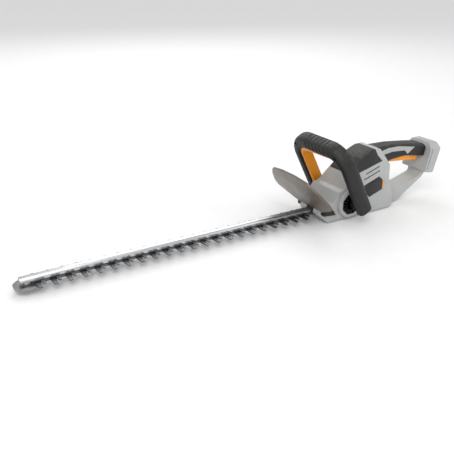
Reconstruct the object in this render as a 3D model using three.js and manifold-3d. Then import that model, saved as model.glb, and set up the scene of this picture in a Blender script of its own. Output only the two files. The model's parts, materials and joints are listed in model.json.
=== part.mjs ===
// Cordless hedge trimmer: reciprocating twin blades under an aluminium rail, a split body
// with a rear D handle and a battery mount, a tilted front loop handle and a hand guard.
// Millimetres. +Z is up, the blade points along -X, and the left side is -Y.
// The origin is on the flat underside, straight below the axis of the drive gear.
import * as THREE from 'three';
import { mergeVertices } from 'three/addons/utils/BufferGeometryUtils.js';
import Module from 'manifold-3d';

const wasm = await Module();
wasm.setup();
const { Manifold, Mesh } = wasm;

// ---------------------------------------------------------------- driving dimensions
const GAP = 0.3; // clearance kept between neighbouring pieces
const WALL = 3; // thickness of the plastic shells
const PITCH = 25; // distance between two long teeth
const TEETH = 22; // long teeth along each side of the blade
const STROKE = 16; // travel of each blade, end to end
const TIP_TOOTH_X = -641; // first long tooth
const BODY_HALF = 40; // half the width of the body
const ARM_HALF = 19; // half the width of the D handle, over its rubber
const RUBBER = 2.5; // thickness of the rubber on the grip
const MOUNT_HALF = 34; // half the width of the battery mount

const BLADE_T = 2.2;
const LOWER_Z = 13; // underside of the lower blade
const UPPER_Z = LOWER_Z + BLADE_T + GAP;
const RAIL_Z = UPPER_Z + BLADE_T + GAP;
const RAIL_H = 8.3;
const RAIL_HALF = 7;
const RAIL_FRONT_X = -668;
const RAIL_REAR_X = -34;

const GEAR_TEETH = 54;
const PINION_TEETH = 10;
const MODULE = 1;
const MOTOR_X = (GEAR_TEETH + PINION_TEETH) * MODULE / 2;
const GEAR_Z = 21;
const GEAR_T = 6;
const CAM_R = 9;
const CAM_OFFSET = STROKE / 2;
const MOTOR_Z = 42; // face of the motor that sits on the gear case
const MOTOR_LEN = 54;
const MOTOR_R = 18;

const SEAT_X = -25; // axis of the octagonal seats that hold the front handle
const SEAT_Z = 36;
const LEG_Y = 72; // centre of each leg of the front handle
const LOOP_TILT = 27 * Math.PI / 180;
const LOOP_DEPTH = 31;
const LOOP_FOOT = [-16.6, 0, 36]; // point of the loop plane at the height of the seats
const GUARD_TILT = 37 * Math.PI / 180;
const GUARD_FOOT = [-90, 0, 31];

// ---------------------------------------------------------------- materials
function finish(color, roughness, metalness = 0) {
  return new THREE.MeshStandardMaterial({ color, roughness, metalness });
}
const SHELL = finish(0xbcbdbc, 0.45);
const RUBBER_BLACK = finish(0x3a3938, 0.75);
const BLACK = finish(0x1c1c1c, 0.5);
const ORANGE = finish(0xe88f10, 0.4);
const SMOKE = finish(0x8f877e, 0.25);
const ALUMINIUM = finish(0xb8babb, 0.35, 1);
const STEEL = finish(0x8e8e8c, 0.35, 1);
const CAST = finish(0x8a8c8e, 0.6, 1);
const BRASS = finish(0xb08d45, 0.4, 1);
const WHITE_PLASTIC = finish(0xe2ded2, 0.5);

// ---------------------------------------------------------------- solids
// A closed solid from a three.js geometry, and the way back to a named mesh.
function solid(geometry) {
  const plain = geometry.clone();
  plain.deleteAttribute('normal');
  plain.deleteAttribute('uv');
  const merged = mergeVertices(plain, 1e-4);
  return new Manifold(new Mesh({
    numProp: 3,
    vertProperties: new Float32Array(merged.attributes.position.array),
    triVerts: new Uint32Array(merged.index.array),
  }));
}

const part = new THREE.Group();
function add(name, body, material) {
  const mesh = body.getMesh();
  const geometry = new THREE.BufferGeometry();
  geometry.setAttribute('position', new THREE.BufferAttribute(mesh.vertProperties, 3));
  geometry.setIndex(new THREE.BufferAttribute(mesh.triVerts, 1));
  geometry.computeVertexNormals();
  const node = new THREE.Mesh(geometry, material);
  node.name = name;
  part.add(node);
}

const union = (bodies) => bodies.reduce((sum, body) => sum.add(body));
const cut = (body, tools) => tools.reduce((rest, tool) => rest.subtract(tool), body);

// Frames for extrusions: each maps (a, b, depth) to a right-handed triple in space.
const ALONG_Z = new THREE.Matrix4();
const ALONG_Y = new THREE.Matrix4().makeBasis(
  new THREE.Vector3(1, 0, 0), new THREE.Vector3(0, 0, 1), new THREE.Vector3(0, -1, 0));
const ALONG_X = new THREE.Matrix4().makeBasis(
  new THREE.Vector3(0, 1, 0), new THREE.Vector3(0, 0, 1), new THREE.Vector3(1, 0, 0));

// A plane that stands across the tool and leans forward: a is Y, b climbs, depth goes back.
function leaning(foot, tilt) {
  const up = new THREE.Vector3(-Math.sin(tilt), 0, Math.cos(tilt));
  const back = new THREE.Vector3(Math.cos(tilt), 0, Math.sin(tilt));
  return new THREE.Matrix4().makeBasis(new THREE.Vector3(0, 1, 0), up, back)
    .setPosition(...foot);
}

// Prism of an outline between two depths, with an optional rounded or chamfered edge.
function prism(frame, shape, from, to, bevel = 0, steps = 1) {
  const geometry = new THREE.ExtrudeGeometry(shape, {
    depth: to - from - 2 * bevel,
    bevelEnabled: bevel > 0,
    bevelThickness: bevel,
    bevelSize: bevel,
    bevelOffset: -bevel,
    bevelSegments: steps,
    curveSegments: 1,
  });
  geometry.translate(0, 0, from + bevel);
  geometry.applyMatrix4(frame);
  return solid(geometry);
}
const prismZ = (shape, z0, z1, bevel, steps) => prism(ALONG_Z, shape, z0, z1, bevel, steps);
const prismX = (shape, x0, x1, bevel, steps) => prism(ALONG_X, shape, x0, x1, bevel, steps);
// Along Y the depth axis points to -Y, so the limits change sign and order.
const prismY = (shape, y0, y1, bevel, steps) => prism(ALONG_Y, shape, -y1, -y0, bevel, steps);

// Outline through corner points; a corner [a, b, radius] is rounded by an arc in steps.
function outline(corners, steps = 2) {
  const count = corners.length;
  const points = [];
  corners.forEach(([a, b, radius = 0], index) => {
    if (radius === 0) {
      points.push(new THREE.Vector2(a, b));
      return;
    }
    const here = new THREE.Vector2(a, b);
    const before = new THREE.Vector2(...corners[(index + count - 1) % count].slice(0, 2));
    const after = new THREE.Vector2(...corners[(index + 1) % count].slice(0, 2));
    const intoIt = before.sub(here).normalize();
    const outOfIt = after.sub(here).normalize();
    const half = Math.acos(intoIt.dot(outOfIt)) / 2;
    const reach = radius / Math.tan(half);
    const middle = intoIt.clone().add(outOfIt).normalize()
      .multiplyScalar(radius / Math.sin(half)).add(here);
    const first = here.clone().addScaledVector(intoIt, reach).sub(middle);
    const last = here.clone().addScaledVector(outOfIt, reach).sub(middle);
    const start = Math.atan2(first.y, first.x);
    let sweep = Math.atan2(last.y, last.x) - start;
    if (sweep > Math.PI) sweep -= 2 * Math.PI;
    if (sweep < -Math.PI) sweep += 2 * Math.PI;
    for (let step = 0; step <= steps; step += 1) {
      const angle = start + sweep * step / steps;
      points.push(new THREE.Vector2(
        middle.x + radius * Math.cos(angle), middle.y + radius * Math.sin(angle)));
    }
  });
  return new THREE.Shape(points);
}
const box = (a0, a1, b0, b1, radius = 0) =>
  outline([[a0, b0, radius], [a1, b0, radius], [a1, b1, radius], [a0, b1, radius]]);
const mirrored = (half) =>
  [...half, ...half.map(([a, b, radius = 0]) => [-a, b, radius]).reverse()];

function disc(a, b, radius, sides = 24, turn = 0) {
  const points = [];
  for (let side = 0; side < sides; side += 1) {
    const angle = turn + 2 * Math.PI * side / sides;
    points.push(new THREE.Vector2(a + radius * Math.cos(angle), b + radius * Math.sin(angle)));
  }
  return new THREE.Shape(points);
}

// Everything on one side of a plane across Y, as a cutting block.
const FAR = 1000;
const sideBlock = (y0, y1) => prismY(box(-FAR, FAR, -FAR, FAR), y0, y1);
const SIDES = [
  { name: 'left', sign: -1, block: sideBlock(-FAR, -GAP / 2) },
  { name: 'right', sign: 1, block: sideBlock(GAP / 2, FAR) },
];
// The span between two distances from the middle plane, on one side.
const span = (sign, near, far) => (sign < 0 ? [-far, -near] : [near, far]);

// ---------------------------------------------------------------- blade and rail
// One blade: a spine with a yoke ring at its rear, teeth on both sides and guide slots.
const GUIDE_X = [0, 5, 10, 15, 20].map((tooth) => TIP_TOOTH_X + PITCH * (tooth + 0.5));
const GUIDE_R = 2.5;
const SPINE_HALF = 8;
const YOKE_SLOT = [CAM_R + 2 * CAM_OFFSET + 0.5, CAM_R + CAM_OFFSET + 0.5];

function toothOutline(x, tip, base, end, side) {
  const root = SPINE_HALF - 1;
  const points = [
    [x - base / 2, root], [x + base / 2, root], [x + end / 2, tip], [x - end / 2, tip],
  ].map(([a, b]) => [a, side * b]);
  return outline(side > 0 ? points : points.reverse());
}

function blade(z, tip, base, end, shift, frontX) {
  const spine = prismZ(box(frontX, -20, -SPINE_HALF, SPINE_HALF), z, z + BLADE_T);
  const yoke = prismZ(outline([
    [-YOKE_SLOT[0] - 6, -YOKE_SLOT[1] - 5, 12], [YOKE_SLOT[0] + 5, -YOKE_SLOT[1] - 5, 12],
    [YOKE_SLOT[0] + 5, YOKE_SLOT[1] + 5, 12], [-YOKE_SLOT[0] - 6, YOKE_SLOT[1] + 5, 12],
  ]), z, z + BLADE_T);
  const teeth = [];
  for (let tooth = 0; tooth < TEETH; tooth += 1) {
    const x = TIP_TOOTH_X + PITCH * tooth + shift;
    for (const side of [-1, 1]) {
      teeth.push(prismZ(toothOutline(x, tip, base, end, side), z, z + BLADE_T));
    }
  }
  const travel = CAM_OFFSET + GUIDE_R + GAP;
  const slots = GUIDE_X.map((x) => prismZ(
    box(x - travel, x + travel, -GUIDE_R - GAP, GUIDE_R + GAP), z - 1, z + BLADE_T + 1));
  const eye = prismZ(box(-YOKE_SLOT[0], YOKE_SLOT[0], -YOKE_SLOT[1], YOKE_SLOT[1], 10),
    z - 1, z + BLADE_T + 1);
  return cut(union([spine, yoke, ...teeth]), [...slots, eye]);
}

add('blade_lower', blade(LOWER_Z, 26.9, 10, 5.4, 0, -651), STEEL);
add('blade_upper', blade(UPPER_Z, 20.9, 8, 4.2, 8, -650), STEEL);

// The rail is a hollow extrusion with a raised rib along its top.
const railTop = RAIL_Z + RAIL_H;
const railSection = outline(mirrored([
  [RAIL_HALF, RAIL_Z], [RAIL_HALF, RAIL_Z + 4.5], [RAIL_HALF - 1.6, railTop - 1.2],
  [RAIL_HALF - 3, railTop],
]));
railSection.holes.push(box(-4, 4, RAIL_Z + 2, railTop - 2));
const boltHoles = GUIDE_X.map((x) => prismZ(
  disc(x, 0, GUIDE_R + GAP, 12), RAIL_Z - 1, RAIL_Z + 2.5));
const clampHole = prismZ(disc(RAIL_REAR_X - 12, 0, 2.4, 12), RAIL_Z - 1, railTop + 1);
add('guide_rail', cut(prismX(railSection, RAIL_FRONT_X, RAIL_REAR_X), [...boltHoles, clampHole]),
  ALUMINIUM);

// Shouldered bolts hold both blades up against the rail, each with a nut inside it.
const BOLT_HEAD_Z = LOWER_Z - GAP - 2.4;
GUIDE_X.forEach((x, index) => {
  add(`guide_bolt_${index + 1}`, union([
    prismZ(disc(x, 0, 5, 12), BOLT_HEAD_Z, LOWER_Z - GAP),
    prismZ(disc(x, 0, GUIDE_R, 12), LOWER_Z - GAP - 0.5, RAIL_Z + 3),
    prismZ(disc(x, 0, 3.6, 6), RAIL_Z + 2 + GAP, RAIL_Z + 5),
  ]), STEEL);
});

// Flat plate under the tip, with a guide slot on each side.
const tipX = (x) => TIP_TOOTH_X + x;
const TIP_PLATE_Z = LOWER_Z - GAP - 3;
const tipPlate = prismZ(outline([
  [tipX(2), -15, 3], [tipX(2), 15, 3], [tipX(-8), 20, 5], [tipX(-26), 20, 7],
  [tipX(-37), 9, 7], [tipX(-37), -9, 7], [tipX(-26), -20, 7], [tipX(-8), -20, 5],
].reverse()), TIP_PLATE_Z, TIP_PLATE_Z + 3);
const tipSlots = [-1, 1].map((side) => prismZ(
  box(tipX(-17), tipX(-10), side * 10 - 1.6, side * 10 + 1.6, 1.5), 0, 20));
const tipPost = prismZ(disc(tipX(-22), 0, 3, 12), TIP_PLATE_Z + 2, RAIL_Z - GAP);
add('tip_plate', union([cut(tipPlate, tipSlots), tipPost]), STEEL);

// ---------------------------------------------------------------- gear train
// A spur gear with plain trapezoid teeth.
function spur(x, teeth, z0, z1, phase, shrink) {
  const pitchR = teeth * MODULE / 2;
  const points = [];
  for (let tooth = 0; tooth < teeth; tooth += 1) {
    const middle = phase + 2 * Math.PI * tooth / teeth;
    const half = Math.PI / teeth;
    for (const [turn, radius] of [
      [-0.75, pitchR - 1.2 * MODULE], [-0.26, pitchR + shrink],
      [0.26, pitchR + shrink], [0.75, pitchR - 1.2 * MODULE]]) {
      const angle = middle + turn * half;
      points.push(new THREE.Vector2(x + radius * Math.cos(angle), radius * Math.sin(angle)));
    }
  }
  return prismZ(new THREE.Shape(points), z0, z1);
}
const SHAFT_R = 4;
const PINION_BORE = 2.5;
const shaftHole = (radius) => prismZ(disc(0, 0, radius, 20), -FAR, FAR);
const keyedGear = (body) => cut(body, [shaftHole(SHAFT_R + GAP)]);

add('drive_gear', keyedGear(spur(0, GEAR_TEETH, GEAR_Z, GEAR_Z + GEAR_T, 0, 0.7)), STEEL);
add('gear_shaft', union([
  prismZ(disc(0, 0, SHAFT_R, 20), 5, 37),
  prismZ(disc(0, 0, SHAFT_R + 2, 20), GEAR_Z - 2.4, GEAR_Z - GAP),
]), STEEL);
const cam = (offset, z) => keyedGear(prismZ(disc(0, offset, CAM_R, 28), z, z + BLADE_T));
add('cam_lower', cam(-CAM_OFFSET, LOWER_Z), STEEL);
add('cam_upper', cam(CAM_OFFSET, UPPER_Z), STEEL);

const BEARING_R = 9;
const ring = (x, outer, inner, z0, z1, sides = 20) =>
  prismZ(disc(x, 0, outer, sides), z0, z1).subtract(prismZ(disc(x, 0, inner, sides), z0 - 1, z1 + 1));
add('bearing_lower', ring(0, BEARING_R, SHAFT_R + GAP, 5, 10), STEEL);
add('bearing_upper', ring(0, BEARING_R, SHAFT_R + GAP, 30, 35), STEEL);

const PINION_PHASE = Math.PI / PINION_TEETH + Math.PI;
const pinionBody = spur(MOTOR_X, PINION_TEETH, GEAR_Z - 0.5, GEAR_Z + GEAR_T + 1, PINION_PHASE, 0.6);
add('pinion', cut(pinionBody, [prismZ(disc(MOTOR_X, 0, PINION_BORE, 12), -FAR, FAR)]), BRASS);
add('motor_rotor', union([
  prismZ(disc(MOTOR_X, 0, PINION_BORE - GAP, 12), GEAR_Z - 1, MOTOR_Z + MOTOR_LEN + 14),
  prismZ(disc(MOTOR_X, 0, MOTOR_R - 5, 20), MOTOR_Z + 8, MOTOR_Z + MOTOR_LEN - 12),
]), STEEL);
const motorFace = MOTOR_Z + MOTOR_LEN;
const motorShell = cut(prismZ(disc(MOTOR_X, 0, MOTOR_R, 24), MOTOR_Z, motorFace), [
  prismZ(disc(MOTOR_X, 0, MOTOR_R - 2, 24), MOTOR_Z + 3, motorFace + 1),
  prismZ(disc(MOTOR_X, 0, 4, 16), MOTOR_Z - 1, MOTOR_Z + 4),
]);
add('motor_can', motorShell, STEEL);
add('motor_end_cap', cut(union([
  prismZ(disc(MOTOR_X, 0, MOTOR_R, 24), motorFace + GAP, motorFace + 6),
  prismZ(disc(MOTOR_X, 0, 7, 16), motorFace + 5, motorFace + 9),
]), [prismZ(disc(MOTOR_X, 0, PINION_BORE + GAP, 16), motorFace - 1, motorFace + 10)]), BLACK);

// Cooling fan on the motor's upper shaft end.
const FAN_Z = motorFace + 9.5;
const VANES = 8;
const fanVanes = [];
for (let vane = 0; vane < VANES; vane += 1) {
  const plain = solid(new THREE.BoxGeometry(10, 1.6, 5).translate(9, 0, 0));
  fanVanes.push(plain.rotate([0, 0, vane * 360 / VANES]).translate([MOTOR_X, 0, FAN_Z + 2.9]));
}
add('motor_fan', cut(union([
  prismZ(disc(MOTOR_X, 0, 15, 24), FAN_Z, FAN_Z + 1.2),
  prismZ(disc(MOTOR_X, 0, 5, 16), FAN_Z, FAN_Z + 4),
  ...fanVanes,
]), [prismZ(disc(MOTOR_X, 0, PINION_BORE, 12), FAN_Z - 1, FAN_Z + 10)]), BLACK);

// Gear case: a cover over the gear and pinion, closed below by the bottom cover.
const CASE_TOP = MOTOR_Z - GAP;
const CASE_FLOOR = UPPER_Z + BLADE_T + 1.5;
const caseOutline = (grow) => outline([
  [-30 - grow, -26 - grow, 14], [20, -31 - grow, 4], [46 + grow, -14 - grow, 6],
  [46 + grow, 14 + grow, 6], [20, 31 + grow, 4], [-30 - grow, 26 + grow, 14],
]);
add('gear_case', cut(prismZ(caseOutline(0), CASE_FLOOR, CASE_TOP), [
  prismZ(disc(0, 0, 28.6, 32), CASE_FLOOR - 1, 28.5),
  prismZ(disc(MOTOR_X, 0, 7.5, 16), CASE_FLOOR - 1, CASE_TOP + 1),
  prismZ(disc(0, 0, BEARING_R + GAP, 20), CASE_FLOOR - 1, 35 + GAP),
  prismZ(disc(0, 0, SHAFT_R + 1, 16), CASE_FLOOR - 1, 38),
  prismX(box(-RAIL_HALF - GAP, RAIL_HALF + GAP, CASE_FLOOR - 2, railTop + GAP),
    -60, RAIL_REAR_X + GAP),
]), CAST);

const COVER = [-44, 46, -31, 31];
const COVER_T = 4;
const coverPlate = prismZ(box(...COVER, 8), 0, COVER_T);
add('bottom_cover', cut(union([
  coverPlate,
  ring(0, BEARING_R + 3, BEARING_R + GAP, COVER_T - 0.5, 9.5, 24),
]), [prismZ(disc(0, 0, BEARING_R + GAP, 24), COVER_T - 1.5, COVER_T + 1)]), CAST);

// ---------------------------------------------------------------- body
// The body is the space common to its side, plan and end outlines.
const bodySide = (inset) => outline([
  [-92 + inset, 19, 2], [-72 + inset, inset], [90, inset, 5], [104 - inset, 9 + inset, 4],
  [100 - inset, 22, 10], [88 - inset, 46, 20], [80 - inset, 68, 16], [83 - inset, 96, 4],
  [60 - inset / 2, 131 - inset, 6], [38, 131 - inset, 6], [10 + inset, 117 - inset, 6],
  [-41 + inset, 64 - inset, 6],
  [-54, 63 - inset, 5], [-66 + inset, 42 - inset, 8], [-90 + inset, 31 - inset, 3],
]);
const bodyPlan = (inset) => outline([
  [-92 + inset, -28], [-86 + inset, -37 + inset], [-70 + inset, -BODY_HALF + inset],
  [76, -BODY_HALF + inset], [98 - inset, -36 + inset], [104 - inset, -30 + inset],
  [104 - inset, 30 - inset], [98 - inset, 36 - inset], [76, BODY_HALF - inset],
  [-70 + inset, BODY_HALF - inset], [-86 + inset, 37 - inset], [-92 + inset, 28],
]);
const bodyEnd = (inset) => outline(mirrored([
  [36 - inset, inset, 0], [BODY_HALF - inset, 6 + inset], [BODY_HALF - inset, 62],
  [35 - inset, 97], [26 - inset, 131 - inset],
]));
const bodySolid = (inset) => prismY(bodySide(inset), -60, 60)
  .intersect(prismZ(bodyPlan(inset), -10, 150))
  .intersect(prismX(bodyEnd(inset), -100, 110));

// The D handle: grip arm above, sloping strut below, and the upright at the battery mount.
const armOutline = (inset) => outline([
  [50, 130 - inset], [108, 128.5 - inset, 60], [160, 123 - inset, 60], [197, 118 - inset, 20],
  [216 - inset, 112 - inset, 8], [207 - inset, 54, 6], [198, 43 + inset, 12],
  [128, 1 + inset, 14], [50, inset],
]);
const LOOP_HOLE = [
  [93, 98, 8, -1, 1], [90, 76, 20, -1, 0], [95, 58, 20, -1, -0.4], [104, 40, 10, -1, -0.6],
  [117, 28, 8, -0.6, -1], [193, 49, 9, 1, -1], [200, 91, 7, 1, 1], [140, 101, 60, 0, 1],
];
const holeOutline = (grow) => outline(LOOP_HOLE.map(([x, z, radius, dx, dz]) =>
  [x + grow * dx, z + grow * dz, radius + grow]));
const armSolid = (inset) => prismY(armOutline(inset), -ARM_HALF + inset, ARM_HALF - inset,
  inset ? 0 : 5, 2).subtract(prismY(holeOutline(inset), -60, 60));

// Battery mount: a block that leans back with the grip, with a groove down each side.
const mountOutline = (inset) => outline([
  [190 + inset, 59 + inset, 4], [214 - inset, 55 + inset, 5], [229 - inset, 108, 7],
  [224, 121 - inset, 6], [203 + inset, 123 - inset, 4],
]);
const mountCrown = prismX(outline(mirrored([
  [36, 40], [MOUNT_HALF, 108, 12], [24, 121], [8, 123]])), 150, 260);
const mountSolid = prismY(mountOutline(0), -MOUNT_HALF, MOUNT_HALF, 2.5, 1)
  .intersect(mountCrown);
const grooveOutline = outline([
  [195.2, 64], [197.2, 63.6], [207.2, 108], [205.2, 108.4]]);
const grooves = SIDES.map(({ sign }) => prismY(
  grooveOutline, ...span(sign, MOUNT_HALF - 4, MOUNT_HALF + 5)));
const BAY_HALF = 22;
const bay = prismY(outline([[205, 66], [240, 57], [252, 104], [214, 104]]), -BAY_HALF, BAY_HALF);

// Round fairings that carry the octagonal seats of the front handle.
const FAIRING_Y = 48;
const fairing = union(SIDES.map(({ sign }) => prismY(
  disc(SEAT_X, SEAT_Z, 29, 16), ...span(sign, BODY_HALF - 4, FAIRING_Y), 3, 1)));
const OCTAGON_R = 23;
const octagon = (grow) => disc(SEAT_X, SEAT_Z, OCTAGON_R + grow, 8, Math.PI / 8);
const SOCKET_Y = BODY_HALF - 0.8;
const seatSocket = union(SIDES.map(({ sign }) => prismY(octagon(GAP), ...span(sign, SOCKET_Y, 60))));

const hull = union([bodySolid(0), armSolid(0), mountSolid, fairing]);
const hollow = union([
  bodySolid(WALL),
  armSolid(RUBBER + WALL).intersect(prismY(box(55, 200, -10, 140), -60, 60)),
]);

// The motor cover takes the whole top of the body above a sloping line.
const coverLine = (grow) => prismY(outline([
  [-40, 84 - grow], [-6, 91 - grow], [63 + grow, 106 - grow], [52 + grow, 119],
  [42 + grow, 145], [-40, 145]]), -60, 60);
add('motor_cover', bodySolid(0).intersect(coverLine(0)).subtract(bodySolid(WALL)), RUBBER_BLACK);

const VENTS = [[18, 84.5, 55], [13, 74, 56]]; // front x, front z, rear x
const ventOutline = (x0, z0, x1) => {
  const rise = (x1 - x0) * 0.29;
  return outline([[x0, z0], [x1, z0 + rise], [x1, z0 + rise + 2.6], [x0, z0 + 2.6]]);
};
const vents = SIDES.flatMap(({ sign }) => VENTS.map((vent) =>
  prismY(ventOutline(...vent), ...span(sign, 25, 60))));

// Side badge with an accent strip, let into the shell by a shallow pocket.
const POCKET = 1.2;
const badgeOutline = (grow) => outline([
  [13 - 2 * grow, 64 + grow], [53, 76 + 2 * grow], [62 + grow, 68 + grow],
  [62 + grow, 48 - grow], [29, 37 - 2 * grow], [20 - grow, 46 - grow]]);
const accentOutline = (grow) => outline([
  [63.2 - grow, 67 + 2 * grow], [66.5 + grow, 63 + grow], [66.5 + grow, 51 - grow],
  [63.2 - grow, 48.5 - 2 * grow]]);
const skin = (deep) => bodySolid(0).subtract(bodySolid(deep));
const trims = SIDES.flatMap(({ name, sign }) => [
  [`badge_${name}`, badgeOutline, BLACK, sign], [`badge_accent_${name}`, accentOutline, ORANGE, sign]]);
const pockets = trims.map(([, shape, , sign]) =>
  prismY(shape(GAP), ...span(sign, 20, 60)).subtract(bodySolid(POCKET)));
for (const [name, shape, material, sign] of trims) {
  const trim = prismY(shape(0), ...span(sign, 20, 60));
  add(name, trim.intersect(skin(POCKET - GAP)), material);
}

// Openings in the shell for the blades, the bottom cover, the trigger and the guard seats.
const bladeMouth = union([
  prismX(box(-11, 11, LOWER_Z - 4, railTop + 1.5), -100, -30),
  prismZ(box(-50, 34, -30, 30), 10, UPPER_Z + BLADE_T + 1),
]);
const coverPocket = prismZ(box(COVER[0] - GAP, COVER[1] + GAP, COVER[2] - GAP, COVER[3] + GAP, 8),
  -1, COVER_T + GAP);
const TRIGGER = { x0: 102, x1: 186, half: 11 };
const TRIGGER_PIVOT = { x: 107, z: 100.5, r: 2 };
const PIN_HALF = ARM_HALF - RUBBER - 0.6;
const pinSeat = (extra) => prismY(
  disc(TRIGGER_PIVOT.x, TRIGGER_PIVOT.z, TRIGGER_PIVOT.r + extra, 16),
  -PIN_HALF - extra, PIN_HALF + extra);
const triggerSlot = prismY(box(TRIGGER.x0 - 2, TRIGGER.x1 + 2, 80, 108), -12, 12);
const guardSeatOutline = (grow) => outline([
  [-88.5 - grow, 35 + grow], [-88.5 - grow, 20 - grow], [-59 + grow, 17.5 - grow],
  [-65 + grow, 27 + grow], [-80 + grow, 36 + grow]]);
const seatSpan = (sign, grow) => span(sign, 27 - grow, 43 + grow);
const seatOf = (sign, grow) => prismY(guardSeatOutline(grow), ...seatSpan(sign, grow));

// Rubber over the grip arm, with a pointed inlay in the shell's colour on each side.
const gripZone = (grow) => prismY(outline([
  [60 - grow, 150], [64 - grow, 124], [91 - grow, 94], [91 - grow, 80], [176 + grow, 80],
  [186 + grow, 91 - grow], [198 + grow, 92 - grow, 6], [201 + grow, 108, 12], [190 + grow, 126],
  [189 + grow, 150]]), -60, 60);
const gripCore = (deep) => prismY(armOutline(deep), -ARM_HALF + deep, ARM_HALF - deep);
const rubberSkin = armSolid(0).intersect(gripZone(0)).subtract(gripCore(RUBBER));
const rubberRoom = cut(gripZone(GAP), [gripCore(RUBBER + GAP), bodySolid(0), mountSolid]);
const aroundGrip = [bodySolid(-GAP), prismY(mountOutline(-GAP), -60, 60)];
const inlayOutline = (grow) => outline([
  [60, 119 + 3 * grow], [91, 124.6 + grow], [121, 123.8 + grow], [166.6 + 2 * grow, 116.2 + grow],
  [147, 103.5 - 2 * grow], [138.4 - grow, 112.6 - grow], [102.3, 115.3 - grow], [60, 110 - grow]]);
const gripRubber = cut(rubberSkin, [...aroundGrip, prismY(inlayOutline(GAP), -60, 60)]);
const gripInlay = cut(rubberSkin, aroundGrip).intersect(prismY(inlayOutline(0), -60, 60));
for (const { name, block } of SIDES) {
  add(`grip_rubber_${name}`, gripRubber.intersect(block), RUBBER_BLACK);
  add(`grip_inlay_${name}`, gripInlay.intersect(block), SHELL);
}

// Screws join the two halves through bosses; each enters from the right.
const BODY_SCREWS = [[-54, 50], [76, 13], [74, 104], [118, 14]];
const SCREW_R = 1.5;
const SCREW_SEAT_Y = 12;
const bosses = union(BODY_SCREWS.map(([x, z]) => prismY(disc(x, z, 4.6, 8), -38, 38)))
  .intersect(hull);
const screwHoles = BODY_SCREWS.flatMap(([x, z]) => [
  prismY(disc(x, z, SCREW_R + GAP, 8), -14, 60),
  prismY(disc(x, z, 3.8, 10), SCREW_SEAT_Y - 2.5, 60)]);
BODY_SCREWS.forEach(([x, z], index) => {
  add(`body_screw_${index + 1}`, union([
    prismY(disc(x, z, SCREW_R, 10), -13, SCREW_SEAT_Y),
    prismY(disc(x, z, 3.2, 12), SCREW_SEAT_Y - 2, SCREW_SEAT_Y + 0.4)]), STEEL);
});

// Ribs inside each half cradle the motor.
const cradle = [50, 84].map((z) => prismZ(box(MOTOR_X - 26, MOTOR_X + 26, -38, 38), z, z + 2)
  .subtract(prismZ(disc(MOTOR_X, 0, MOTOR_R + 2 * GAP, 16), z - 1, z + 3)));
const coverRoom = coverLine(GAP).intersect(prismX(box(-60, 60, 50, 150), -60, 75));
const shell = cut(hull, [hollow, coverRoom, rubberRoom])
  .add(bosses)
  .add(union(cradle).intersect(bodySolid(WALL - 1)));
const shellBlank = cut(shell, [
  ...screwHoles, ...vents, ...pockets, ...grooves, bladeMouth, coverPocket, triggerSlot,
  pinSeat(GAP), bay, seatSocket, ...SIDES.map(({ sign }) => seatOf(sign, GAP)),
]);
for (const { name, block } of SIDES) {
  add(`housing_${name}`, shellBlank.intersect(block), SHELL);
}

// ---------------------------------------------------------------- front handle
const loopFrame = leaning(LOOP_FOOT, LOOP_TILT);
const LOOP = {
  outer: LEG_Y + 11, inner: LEG_Y - 11, top: 145, underTop: 117, foot: -13.5 };
const loopOutline = (inset) => {
  const outer = LOOP.outer - inset;
  const inner = LOOP.inner + inset;
  const foot = LOOP.foot + inset;
  const footR = 10 - inset;
  return outline([
    [outer, foot, footR], [outer, LOOP.top - inset, 48 - inset],
    [-outer, LOOP.top - inset, 48 - inset], [-outer, foot, footR],
    [-inner, foot, footR], [-inner, LOOP.underTop + inset, 25 + inset],
    [inner, LOOP.underTop + inset, 25 + inset], [inner, foot, footR],
  ], 4);
};
const HALF_DEPTH = LOOP_DEPTH / 2;
const loopSolid = prism(loopFrame, loopOutline(0), -HALF_DEPTH, HALF_DEPTH, 9, 2);
const loopHollow = prism(loopFrame, loopOutline(3.5), -HALF_DEPTH + 3.5, HALF_DEPTH - 3.5);

// The switch bar is a bent lever: it lines the right leg and tapers away under the top of
// the loop, and it slides up into both.
const BAR = { outer: 63, inner: 55.5, top: 119, underTop: 111.5, foot: 17, half: 11, travel: 4 };
const BAR_END_Y = -38;
const barOutline = outline([
  [BAR.outer, BAR.foot, 3], [BAR.outer, BAR.top, 22], [BAR_END_Y, BAR.top], [BAR_END_Y, BAR.top - 2.5],
  [BAR.inner, BAR.underTop, 20], [BAR.inner, BAR.foot, 3],
], 4);
add('switch_bar', prism(loopFrame, barOutline, -BAR.half, BAR.half, 0.9, 1), ORANGE);
const barChannel = prism(loopFrame, outline([
  [BAR_END_Y - GAP, BAR.foot - GAP], [BAR.outer + GAP, BAR.foot - GAP],
  [BAR.outer + GAP, BAR.top + BAR.travel + GAP, 20],
  [BAR_END_Y - GAP, BAR.top + BAR.travel + GAP],
], 4), -BAR.half - GAP, BAR.half + GAP);

// Screws through bosses join the two shells; their heads lie on the front face.
const LOOP_SCREWS = [[-68, 4], [-60, 126], [60, 126], [68, 4]];
const loopBosses = union(LOOP_SCREWS.map(([y, s]) =>
  prism(loopFrame, disc(y, s, 4.4, 8), -HALF_DEPTH + 2, HALF_DEPTH - 2)));
const loopHoles = LOOP_SCREWS.flatMap(([y, s]) => [
  prism(loopFrame, disc(y, s, SCREW_R + GAP, 8), -HALF_DEPTH, 10),
  prism(loopFrame, disc(y, s, 3.4, 10), -HALF_DEPTH - 1, -HALF_DEPTH + 7)]);
LOOP_SCREWS.forEach(([y, s], index) => {
  add(`handle_screw_${index + 1}`, union([
    prism(loopFrame, disc(y, s, SCREW_R, 10), -HALF_DEPTH + 6, 9),
    prism(loopFrame, disc(y, s, 3, 12), -HALF_DEPTH + 4, -HALF_DEPTH + 6.6)]), STEEL);
});

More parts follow.
